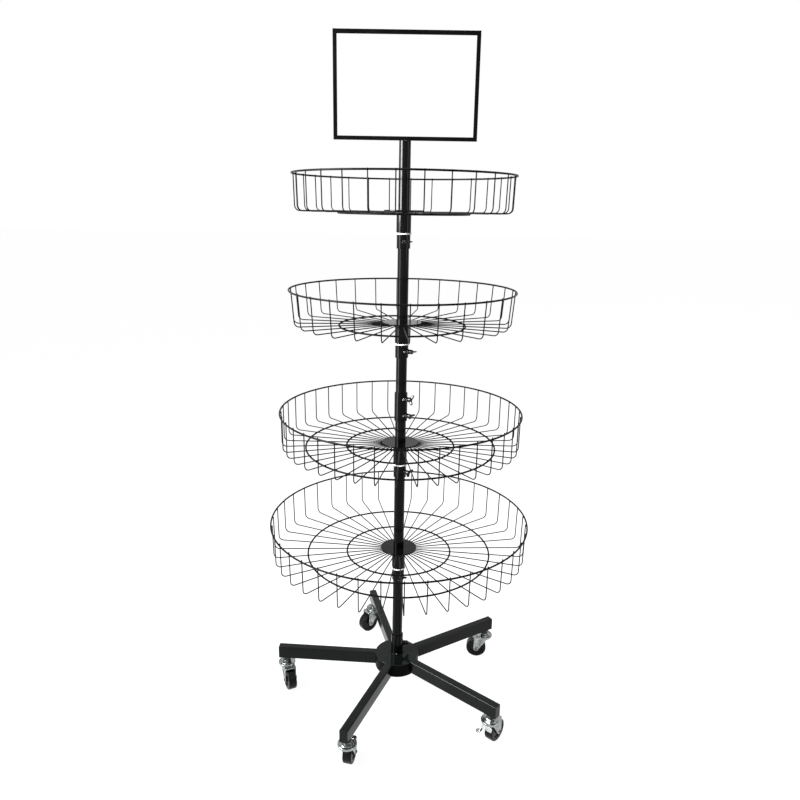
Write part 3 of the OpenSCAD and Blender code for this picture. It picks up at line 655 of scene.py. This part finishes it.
def wire_path(k):
    """Radius, height and slope of one wire's middle. The wall leans out by the taper, so the bend turns a
    little less than a quarter turn, and touches both runs at the bend radius times tan of half its
    angle."""
    corner_r = WALL_R[k] - TAPER[k]
    lean = math.atan2(TAPER[k], DEPTH[k])
    turn = math.pi / 2 - lean
    tangent = BEND_R * math.tan(turn / 2)
    wall_l = (DEPTH[k] + RIM_WIRE_D / 2 + OVER_RIM) / math.cos(lean) - tangent
    a = np.linspace(0, turn, 7)
    bend = np.stack([corner_r - tangent + BEND_R * np.sin(a), BEND_R * (1 - np.cos(a))], -1)
    start = np.array([[WIRE_START, 0.0], [WIRE_START + END_L, 0.0]])
    direction = np.array([math.sin(lean), math.cos(lean)])
    top = bend[-1] + np.array([[wall_l - END_L], [wall_l]]) * direction
    slopes = np.concatenate([[0, 0], a, [turn, turn]])
    sizes = np.concatenate([[END_SHARE], np.ones(len(slopes) - 2), [END_SHARE]])
    return np.concatenate([start, bend, top]), slopes, sizes


def basket_wires(k, sides=8):
    """Section point = middle + wire radius times (cos v * normal in the plane + sin v * the plane's own
    normal). It gives one wire and the turns that carry it round the basket."""
    path, slopes, sizes = wire_path(k)
    v = np.linspace(0, 2 * np.pi, sides, endpoint=False)[None, :]
    out = WIRE_D / 2 * sizes[:, None] * np.cos(v)
    x = path[:, :1] - out * np.sin(slopes)[:, None]
    z = path[:, 1:] + out * np.cos(slopes)[:, None]
    y = WIRE_D / 2 * sizes[:, None] * np.sin(v)
    one = put(surface(np.stack([x, y, z], -1)), moved(0, 0, FLOOR_Z[k]))
    turns = WIRE_TURN[k] + np.arange(WIRE_COUNT[k]) * 360 / WIRE_COUNT[k]
    return one, [turned(turn) for turn in turns]


def make_wire_piece(basket, name, node, parts):
    """One welded group of wires of a basket, coated all over."""
    make(f"{basket}_{name}", [(joined(parts), wire_coat)], basket, [f"{basket}_{node}"])


for k in TIERS:
    basket = f"basket_{k + 1}"
    one, spin = basket_wires(k)
    rim_z = FLOOR_Z[k] + DEPTH[k]
    rim = ring_of_wire(RIM_D[k] / 2, RIM_WIRE_D, rim_z)
    at_rim = [turn @ moved(WALL_R[k] + WIRE_D / 2, 0, rim_z) @ turned(90) for turn in spin]
    make_wire_piece(basket, "rim_ring", "rim", [rim, copied(bead(*RIM_BEAD), at_rim)])
    at_hub = [turn @ moved(HUB_PLATE_D / 2 - 4.5, 0, FLOOR_Z[k] + 0.7) for turn in spin]
    make_wire_piece(basket, "bent_wires", "wires", [copied(one, spin), copied(bead(*HUB_BEAD), at_hub)])
    ring_z = FLOOR_Z[k] - WIRE_D / 2 - HAIRLINE - RIM_WIRE_D / 2
    rings = []
    for ring_d in FLOOR_RINGS[k]:
        at_ring = [turn @ moved(ring_d / 2, 0, FLOOR_Z[k] - WIRE_D / 2) for turn in spin]
        rings.append(ring_of_wire(ring_d / 2, RIM_WIRE_D, ring_z, 144))
        rings.append(copied(bead(*RING_BEAD), at_ring))
    make_wire_piece(basket, "under_rings", "floor_rings", rings)
print("wire triangles by basket:", [made[f"basket_{k + 1}_bent_wires"] for k in TIERS])

# %% [markdown]
# The hub of a basket: a stamped disc on a short tube, with a fillet of weld under the disc. One closed
# profile gives them all, because the coating runs over the weld without a seam.

# %% Hubs
for k in TIERS:
    low, mid, high = TIER_Z[k], TIER_Z[k] + HUB_L[k], TIER_Z[k] + HUB_L[k] + HUB_PLATE_T
    bore, wall, edge = POLE_D / 2 + 0.08, HUB_TUBE_D / 2, HUB_PLATE_D / 2
    profile = rounded([[bore, low], [wall, low], [wall, mid], [edge, mid], [edge, high], [bore, high]],
                      [0.4, 0.8, 2.5, 0.7, 1.1, 0.6], 4)
    basket = f"basket_{k + 1}"
    make(f"{basket}_hub_plate_and_tube", [(lathe(profile, 120), enamel)], basket, [f"{basket}_hub"])
print("a hub's triangles:", made["basket_1_hub_plate_and_tube"])

# %% [markdown]
# The base: a pressed drum with a plate on it and five legs of 32 x 20 mm tube that butt against the drum. A
# leg is a rounded rectangle carried outwards. Its inner end is not square: each point of the section starts
# where the drum's round wall is, so the joint closes all round.

# %% Drum, plate and the socket's weld
drum_top, drum_low, drum_r = BASE_TOP - PLATE_T, BASE_TOP - DRUM_H, DRUM_D / 2
profile = [[1.0, drum_low], [drum_r, drum_low], [drum_r, drum_top], [drum_r - DRUM_WALL, drum_top],
           [drum_r - DRUM_WALL, drum_low + DRUM_WALL], [1.0, drum_low + DRUM_WALL]]
drum = turned_solid(profile, [0, 5, 0.4, 0.4, 3, 0], 6, 120)
make("pressed_drum", [(drum, satin)], "base", ["base_drum"])
profile = [[1.0, drum_top], [drum_r, drum_top], [drum_r, BASE_TOP], [1.0, BASE_TOP]]
plate = turned_solid(profile, [0, 0.5, 0.9, 0], 4, 120)
weld_low, weld_top, wall = BASE_TOP - 0.4, BASE_TOP + 2.8, CLAMP_D / 2
profile = [[wall - 0.8, weld_low], [wall + 3.2, weld_low], [wall + 0.2, weld_top], [wall - 0.8, weld_top]]
weld = lathe(rounded(profile, [0, 0.9, 0.9, 0], 3), 72)
make("drum_top_plate", [(plate, charcoal), (weld, satin)], "base", ["base_top_plate"])
print("the drum's and the plate's triangles:", made["pressed_drum"], made["drum_top_plate"])


# %% Legs and their end caps
def leg_section(width, height, radius):
    """A rounded rectangle round the leg's middle, as points (y, z)."""
    y, z = width / 2, height / 2
    return rounded([[-y, -z], [y, -z], [y, z], [-y, z]], radius, 5)


def leg():
    """Rows run out along the outside and back along the bore, so the wall has its real thickness."""
    outer = leg_section(LEG_W, LEG_H, LEG_CORNER_R)
    inner = leg_section(LEG_W - 2 * LEG_WALL, LEG_H - 2 * LEG_WALL, LEG_BORE_R)
    tube_end = LEG_REACH - LEG_CAP_T
    rows = []
    for section, ends in ((outer, [0, 0.5, 1]), (inner, [1, 0.5, 0])):
        start = np.sqrt((DRUM_D / 2 + HAIRLINE) ** 2 - section[:, 0] ** 2)
        for share in ends:
            rows.append(np.column_stack([start + (tube_end - start) * share, section]))
    return put(surface(np.stack(rows), loop=True), moved(0, 0, LEG_Z + LEG_H / 2))


def leg_cap():
    """A plate on the tube's end. Its outer edge is ground round, and its small inner edge leaves a fine
    seam where it meets the tube."""
    outline = leg_section(LEG_W, LEG_H, LEG_CORNER_R)
    plate = slab(outline, LEG_REACH - LEG_CAP_T, LEG_REACH, 0.2, 0.9, 4)
    return put(plate, moved(0, 0, LEG_Z + LEG_H / 2) @ FACE_OUT)


legs = joined([put(leg(), turned(turn)) for turn in LEG_TURN])
caps = joined([put(leg_cap(), turned(turn)) for turn in LEG_TURN])
make("leg_tubes", [(legs, charcoal)], "base", ["legs"])
make("leg_caps", [(caps, charcoal)], "base", ["leg_end_caps"])
print("base pieces made:", len(made))

# %% [markdown]
# The sign frame: a channel bent from sheet, open inwards, with a slot along its top bar where a card drops
# in. Its section is a U. It is carried down one side, along the bottom and up the other, with mitred
# corners, and the top bar is two strips with the slot between them.

# %% Sign frame
SIGN_W, SIGN_H = 300.0, 210.0
SIGN_BAR, SIGN_DEPTH, SIGN_WALL = 8.0, 6.0, 1.2
SIGN_STEM_D, SIGN_STEM_BORE, SIGN_STEM_L = 21.8, 18.8, 60.0
SIGN_Z = POLE_TOP + 0.3
back, wall, bar = SIGN_DEPTH / 2, SIGN_WALL, SIGN_BAR
section = [[bar, -back], [0, -back], [0, back], [bar, back],
           [bar, back - wall], [wall, back - wall], [wall, wall - back], [bar, wall - back]]
section = rounded(section, [0.5, 0.9, 0.9, 0.5, 0.4, 0.3, 0.3, 0.4], 3)
inward, depth = section[:, 0], section[:, 1]
left, right = -SIGN_W / 2 + inward, SIGN_W / 2 - inward
stations = [(left, SIGN_H + 0 * inward), (left, inward), (right, inward), (right, SIGN_H + 0 * inward)]
channel = surface(np.stack([np.stack([x, depth, SIGN_Z + z], -1) for x, z in stations]))
strip_x, strip_low = SIGN_W / 2 - bar + 0.5, SIGN_H - bar
strip = rounded([[-strip_x, strip_low], [strip_x, strip_low], [strip_x, SIGN_H], [-strip_x, SIGN_H]], 0.05, 1)
strip = slab(strip, back - wall, back, 0.3, 0.5)
front_strip = put(strip, moved(0, 0, SIGN_Z) @ STAND_UP)
back_strip = put(strip, moved(0, 0, SIGN_Z) @ turned(180) @ STAND_UP)
sign_stem = tube(SIGN_STEM_D, SIGN_STEM_BORE, POLE_TOP - SIGN_STEM_L, SIGN_Z - HAIRLINE, 0.5, 64)
make("sign_channel", [(joined([channel, front_strip, back_strip]), satin), (sign_stem, zinc)], "sign",
     ["sign_frame"])
print("sign frame triangles:", made["sign_channel"])

# %% [markdown]
# The casters, five alike. Each fork turns on a ring of balls under a threaded stem with a pressed race. The
# fork is pressed from one sheet, so its crown runs into the side plates over a bend. The wheel is a black
# rubber tread moulded round a black core with recessed sides, on a bolt whose dull black is painted shade
# for the dark hollow centre of its head. Two of the forks carry a brake lever: a bent plate on a rivet,
# with a tab for the foot and a shoe over the tread.

# %% Stems and forks
FOOT_R, FOOT_H, PIN_R = 8.0, 2.5, 5.0
BEARING_GAP = 0.3
STEM_PITCH, STEM_DEPTH, STEM_IN_LEG = 1.5, 0.6, 16.0


def caster_stem():
    """The rivet head under the crown, the pin, the race with its rolled edge, a hexagon and the thread
    above it."""
    foot_z = CROWN_Z - BEARING_GAP - FOOT_H
    profile = [[1, foot_z], [FOOT_R, foot_z], [FOOT_R, foot_z + FOOT_H], [1, foot_z + FOOT_H]]
    foot = turned_solid(profile, [0, 1.2, 0.3, 0], 4, 40)
    pin = lathe([[PIN_R, foot_z + 2], [PIN_R, LEG_NUT_Z + 0.5]], 40, loop=False)
    lip_z = CROWN_TOP + BEARING_GAP
    rim, top = RACE_D / 2, RACE_Z + RACE_T
    profile = [[4.9, RACE_Z], [rim - 1.8, RACE_Z], [rim - 1.8, lip_z], [rim, lip_z], [rim, top],
               [rim - 4, top], [rim - 4.8, top - 0.7], [rim - 6.8, top - 0.7], [rim - 7.6, top], [12.5, top],
               [11.5, top - 0.5], [4.9, top - 0.5]]
    race = lathe(rounded(profile, [0, 0.8, 0.5, 0.5, 1.7, 0.8, 0.3, 0.3, 0.8, 0.8, 0.6, 0], 5))
    hexagon = hex_nut(STEM_HEX_AF, STEM_HEX_Z - 0.6, STEM_HEX_Z + STEM_HEX_H, 0, 1.0)
    screw = thread(STEM_D, LEG_NUT_Z, LEG_Z + STEM_IN_LEG, STEM_PITCH, STEM_DEPTH, 32)
    return joined([foot, pin, race, hexagon, screw])


def fork_outline():
    """A side plate seen along the axle: a straight rear edge that touches the round end, and a plumb front.
    The edge touches the end where the angle from the axle is that of the rear corner plus acos(end radius /
    distance)."""
    drop = CROWN_TOP - WHEEL_D / 2
    back = TRAIL - FORK_REAR_X
    touch = math.degrees(math.atan2(drop, -back) + math.acos(FORK_END_R / math.hypot(back, drop)))
    end = circle(FORK_END_R, 14, touch, 360) + [TRAIL, WHEEL_D / 2]
    corners = np.concatenate([[[FORK_REAR_X, CROWN_TOP]], end, [[FORK_FRONT_X, CROWN_TOP]]])
    radii = np.concatenate([[2.0], np.zeros(len(end)), [2.0]])
    return rounded(corners, radii, 4)


def fork():
    """Two plates and the crown. Along the crown the plates' outer edge is rounded by the whole sheet, as a
    bend. One plate has a long rib pressed out of it, and the crown a track for the balls."""
    outline = fork_outline()
    bend = np.where(outline[:, 1] > CROWN_TOP - 0.6, 1.8, 0.45)
    plate = slab(outline, FORK_GAP / 2, FORK_SIDE, 0.3, bend, 4)
    near = put(plate, STAND_UP)
    far = outward(*put(plate, FLIP_Y @ STAND_UP))
    side, hood_x = FORK_SIDE, FORK_FRONT_X + FORK_HOOD
    meet = math.degrees(math.asin(side / (CROWN_D / 2)))
    disc = circle(CROWN_D / 2, 44, meet, 360 - meet)
    crown = np.concatenate([[[hood_x, -side + 3], [hood_x, side - 3], [hood_x - 3, side - 0.2]], disc,
                            [[hood_x - 3, -side + 0.2]]])
    crown = slab(crown, CROWN_Z, CROWN_TOP, 0.5, 1.3, 3)
    track = [[BALL_RING_R - 3, CROWN_TOP - 0.6], [BALL_RING_R + 2.6, CROWN_TOP - 0.6],
             [BALL_RING_R + 2.2, CROWN_TOP + 0.1], [BALL_RING_R - 2.6, CROWN_TOP + 0.1]]
    track = lathe(rounded(track, 0.2, 2), 64)
    rib = rounded([[10, 52], [13.4, 52], [TRAIL + 1.2, 35], [TRAIL - 2.2, 35]], 1.5, 4)
    rib = put(slab(rib, side - 0.1, side + 0.5, 0, 0.5), STAND_UP)
    return joined([near, far, crown, track, rib])


stem = caster_stem()
make("caster_stems_and_races", [(joined([put(stem, at_stem(i)) for i in LEGS]), zinc)], "base",
     ["caster_stems"])
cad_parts["caster_balls"].data.materials.clear()
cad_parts["caster_balls"].data.materials.append(zinc)
print("the five stems' triangles:", made["caster_stems_and_races"])


# %% Axles, wheels and brake levers
RIVET_X, RIVET_Z = 6.0, CROWN_Z - 12
LEVER_Y, LEVER_T = FORK_SIDE + 0.3, 2.0
TAB_W, TAB_L, TAB_OUT, TAB_DROP = 13.0, 12.0, 21.0, 16.0
SHOE_R, SHOE_L, SHOE_TURN = WHEEL_D / 2 + 4.5, 10.0, -151.0


def axle():
    """A bolt with a low head on a zinc washer, and at the other side its end just through a thin nut. The
    bolt's dull black, given where it is made, is painted shade for the dark hollow centre of its head."""
    side, radius = FORK_SIDE, AXLE_D / 2
    profile = [[0.6, -side - 3.2], [radius, -side - 3.2], [radius, side + 1], [0.6, side + 1]]
    shank = turned_solid(profile, [0, 0.6, 0, 0], 3, 32)
    head = put(dome(3.3, 1.6, 6, 32), moved(0, 0, side + 0.75))
    washer = tube(NUT_AF, 5.6, side - HAIRLINE, side + 0.8, 0.2, 40)
    nut = hex_nut(NUT_AF, -side - 2.6, -side, AXLE_D, 0.8)
    return joined([shank, head]), joined([washer, nut])


def wheel():
    """The tread's profile has rounded shoulders. The core's side steps in from a lip to a web, and out to a
    boss."""
    half, outer, inner = WHEEL_W / 2, WHEEL_D / 2, CORE_D / 2 + HAIRLINE
    tread = rounded([[inner, -half], [outer, -half], [outer, half], [inner, half]], [0.5, 2.2, 2.2, 0.5], 6)
    edge, bore, boss_r = CORE_D / 2, AXLE_D / 2 + HAIRLINE, 7.0
    lip, web, boss = half - 0.5, half - 3, FORK_GAP / 2 - 0.3
    side = [[edge, lip], [edge - 3, lip], [edge - 4, web], [boss_r + 1.2, web], [boss_r, boss], [bore, boss]]
    other = [[radius, -height] for radius, height in side[::-1]]
    return lathe(tread), lathe(rounded(side + other, 0.5, 3))


def lever():
    """A plate on the rivet, bent out to a tab for the foot, and a shoe that reaches in over the tread."""
    tab_x, tab_z = RIVET_X - TAB_OUT, RIVET_Z - TAB_DROP
    left, right = tab_x - TAB_W / 2, tab_x + TAB_W / 2
    low, high = tab_z - LEVER_T / 2, tab_z + LEVER_T / 2
    head = circle(6.0, 14, -60, 95) + [RIVET_X, RIVET_Z]
    outline = np.concatenate([head, [[left, high], [left, low], [right, low]]])
    side = outward(*put(slab(outline, LEVER_Y, LEVER_Y + LEVER_T, 0.3, 0.6), FLIP_Y @ STAND_UP))
    end = circle(TAB_W / 2, 16, 0, 180) + [tab_x, LEVER_Y + TAB_L - TAB_W / 2]
    tab = slab(np.concatenate([end, [[left, LEVER_Y], [right, LEVER_Y]]]), low, high, 0.5, 0.5)
    near, far, half = LEVER_Y + LEVER_T, -WHEEL_W / 2, SHOE_L / 2
    shoe = rounded([[far, -half], [near, -half], [near, half], [far, half]], 1.0, 3)
    shoe = put(slab(shoe, SHOE_R, SHOE_R + LEVER_T, 0.4, 0.4), FACE_OUT)
    shoe = put(shoe, moved(TRAIL, 0, WHEEL_D / 2) @ turned(SHOE_TURN, "y"))
    return joined([side, tab, shoe])


def brake_rivet():
    """The pin that the lever turns on, with a domed head over it."""
    pin = lathe([[2.5, FORK_GAP / 2 + 1], [2.5, LEVER_Y + 2.5]], 24, loop=False)
    head = put(dome(4.0, 1.6), moved(0, 0, LEVER_Y + 2.3))
    return put(joined([pin, head]), moved(RIVET_X, 0, RIVET_Z) @ turned(-90, "x"))


for i, name in enumerate(CASTERS):
    caster = f"{name}_caster"
    parts = [fork()] + ([brake_rivet()] if i in BRAKED else [])
    make(f"{name}_fork", [(put(joined(parts), at_trail(i)), zinc)], caster, [f"{caster}_fork"])
    # The bolt's dull black is painted shade, for the dark hollow centre of its head; its washer and nut are
    # zinc.
    bolt, bright = [put(part, at_axle(i)) for part in axle()]
    make(f"{name}_axle_bolt", [(bolt, black_nut_and_painted_shade), (bright, zinc)], caster, [f"{caster}_axle"])
    tread, wheel_core = [put(part, at_axle(i)) for part in wheel()]
    make(f"{name}_wheel_tread_and_core", [(tread, rubber), (wheel_core, core)], f"{name}_wheel",
         [f"{caster}_wheel"])
    if i in BRAKED:
        make(f"{BRAKED[i]}_pedal", [(put(lever(), at_trail(i)), zinc)], BRAKED[i], [f"{BRAKED[i]}_lever"])
print("pieces:", len(made), "triangles:", sum(made.values()))

# %% [markdown]
# The stage: a pale floor that keeps the shadow, and a world that is white to the camera and to reflections,
# and dimmer as a light. Two softboxes with grids at the left, one above the other, give the pole its narrow
# highlight. Places and sizes are in metres here.

# %% Floor and world
FLOOR_HALF, FLOOR_WHITE = 30, 0.90
WORLD_AS_LIGHT, WORLD_AS_SEEN = 0.45, 1.0
floor_mesh = bpy.data.meshes.new("studio_floor")
corners = [(x * FLOOR_HALF, y * FLOOR_HALF, 0) for x, y in ((-1, -1), (1, -1), (1, 1), (-1, 1))]
floor_mesh.from_pydata(corners, [], [(0, 1, 2, 3)])
floor = bpy.data.objects.new("studio_floor", floor_mesh)
bpy.context.scene.collection.objects.link(floor)
pale = bpy.data.materials.new("pale_studio_floor")
pale.use_nodes = True
tree = pale.node_tree
tree.nodes.remove(tree.nodes["Principled BSDF"])
seen = add(tree, "ShaderNodeLightPath")
both = add(tree, "ShaderNodeMath", [(0, seen.outputs["Is Camera Ray"]), (1, seen.outputs["Is Glossy Ray"])],
           operation="MAXIMUM")
matt = add(tree, "ShaderNodeBsdfDiffuse", Color=linear("#7c7c7c"))
white = add(tree, "ShaderNodeEmission", [("Strength", both.outputs[0])],
            Color=(FLOOR_WHITE, FLOOR_WHITE, FLOOR_WHITE, 1))
total = add(tree, "ShaderNodeAddShader", [(0, matt.outputs[0]), (1, white.outputs[0])])
tree.links.new(tree.nodes["Material Output"].inputs["Surface"], total.outputs[0])
floor_mesh.materials.append(pale)

world = bpy.data.worlds.new("white_studio")
bpy.context.scene.world = world
world.use_nodes = True
tree = world.node_tree
background = tree.nodes["Background"]
seen = add(tree, "ShaderNodeLightPath")
both = add(tree, "ShaderNodeMath", [(0, seen.outputs["Is Camera Ray"]), (1, seen.outputs["Is Glossy Ray"])],
           operation="MAXIMUM")
clear = add(tree, "ShaderNodeMath", [(0, both.outputs[0]), (1, seen.outputs["Is Transmission Ray"])],
            operation="MAXIMUM")
strength = add(tree, "ShaderNodeMapRange", [("Value", clear.outputs[0])], To_Min=WORLD_AS_LIGHT,
               To_Max=WORLD_AS_SEEN)
background.inputs["Color"].default_value = (1, 1, 1, 1)
tree.links.new(background.inputs["Strength"], strength.outputs[0])
print("stage:", floor.name, "and", world.name)


# %% Lamps
def frame_matrix(axes, place):
    """Three axes as columns and a place, as the matrix of an object."""
    return Matrix([[*row, p] for row, p in zip(axes, place)] + [[0, 0, 0, 1]])


def softbox(name, place, target, width, height, power, spread=180):
    """A rectangle of light at a place, its -Z turned to the target. A spread under 180 degrees is a grid on
    it."""
    light = bpy.data.lights.new(name, "AREA")
    light.shape, light.size, light.size_y, light.energy = "RECTANGLE", width, height, power
    light.spread = math.radians(spread)
    lamp = bpy.data.objects.new(name, light)
    z = np.array(place, float) - target
    z /= np.linalg.norm(z)
    x = np.cross([0, 0, 1.0], z)
    x /= np.linalg.norm(x)
    lamp.matrix_world = frame_matrix(np.column_stack([x, np.cross(z, x), z]), place)
    bpy.context.scene.collection.objects.link(lamp)


GRID = 120
softbox("key_high", (-1.44, -0.58, 1.6), (0, 0, 1.5), 0.9, 0.9, 85, GRID)
softbox("key_low", (-1.44, -0.58, 0.6), (0, 0, 0.9), 0.6, 1.1, 10, GRID)
softbox("fill_right", (2.6, -1.2, 1.6), (0, 0, 0.5), 1.0, 1.6, 18)
softbox("top", (0.2, 0.4, 3.4), (0, 0, 0.6), 1.6, 1.6, 20)
print("watts:", {lamp.name: lamp.energy for lamp in bpy.data.lights})

# %% [markdown]
# The camera stands where the photograph's stood: 1.55 m in front and 1.21 m up. It looks down 15.5 degrees,
# with a roll of under a degree and hardly any yaw. Its axes are worked out from those three angles.

# %% Camera
LENS_MM, SENSOR_MM = 31.32, 36.0
CAMERA_PLACE = (0, -1.55, 1.214)
PITCH, YAW, ROLL = math.radians(15.53), math.radians(-0.08), math.radians(0.91)
forward = np.array([math.sin(YAW) * math.cos(PITCH), math.cos(YAW) * math.cos(PITCH), -math.sin(PITCH)])
level = np.array([math.cos(YAW), -math.sin(YAW), 0])
upright = np.cross(level, forward)
right_axis = math.cos(ROLL) * level + math.sin(ROLL) * upright
up_axis = math.cos(ROLL) * upright - math.sin(ROLL) * level
camera = bpy.data.objects.new("camera", bpy.data.cameras.new("camera"))
camera.data.lens, camera.data.sensor_width, camera.data.sensor_fit = LENS_MM, SENSOR_MM, "HORIZONTAL"
axes = np.column_stack([right_axis, up_axis, -forward])
camera.matrix_world = frame_matrix(axes, CAMERA_PLACE)
bpy.context.scene.collection.objects.link(camera)
bpy.context.scene.camera = camera
bpy.context.scene.view_settings.view_transform = "Standard"
print("the camera looks along", np.round(forward, 3))
